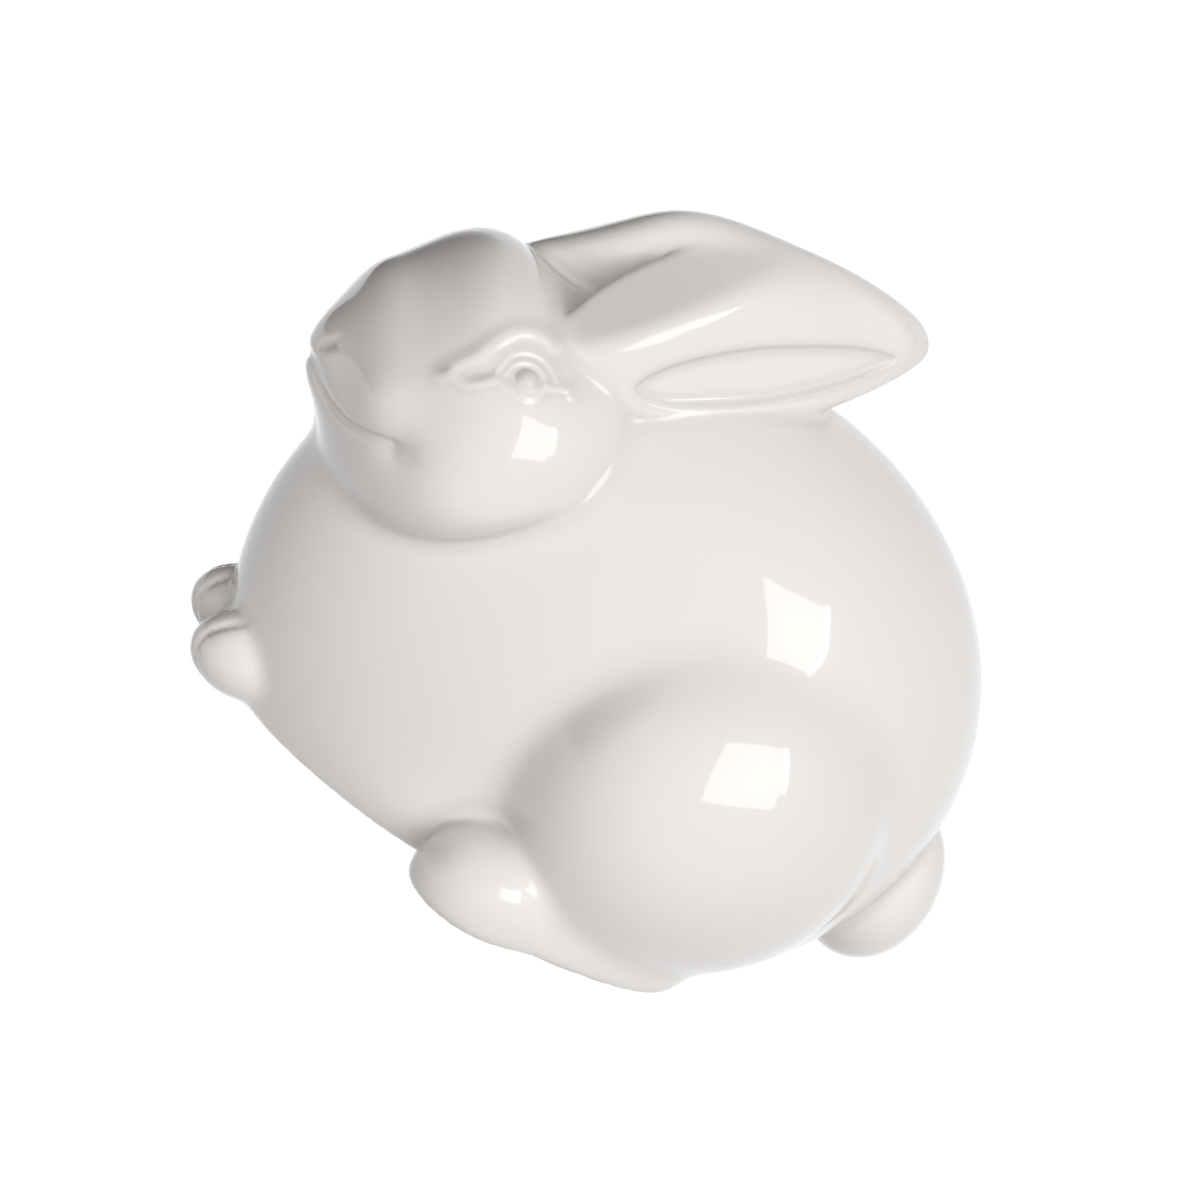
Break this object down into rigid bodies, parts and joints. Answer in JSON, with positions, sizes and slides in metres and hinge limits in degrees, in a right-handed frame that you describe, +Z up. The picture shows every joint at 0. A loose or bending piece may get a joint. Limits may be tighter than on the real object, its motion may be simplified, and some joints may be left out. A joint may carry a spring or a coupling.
{
  "type": "ceramic rabbit figurine",
  "caption": "Crouching rabbit ornament in glossy white earthenware: hollow trunk and head, ears laid back, paws tucked in, standing on a flat base.",
  "frame": {"origin": "middle of the bounding box on the surface that the rabbit stands on", "axes": "+Z up, -Y the way the rabbit faces, +X its left side"},
  "size_m": [0.1002, 0.1504, 0.1118],
  "materials": {
    "glaze": "glossy warm white glaze over earthenware"
  },
  "bodies": {
    "root": {"body_shell": "glaze", "head_shell": "glaze", "left_ear": "glaze", "right_ear": "glaze", "left_haunch": "glaze", "right_haunch": "glaze", "left_hind_foot": "glaze", "right_hind_foot": "glaze", "left_front_paw": "glaze", "right_front_paw": "glaze", "tail": "glaze"}
  },
  "joints": []
}
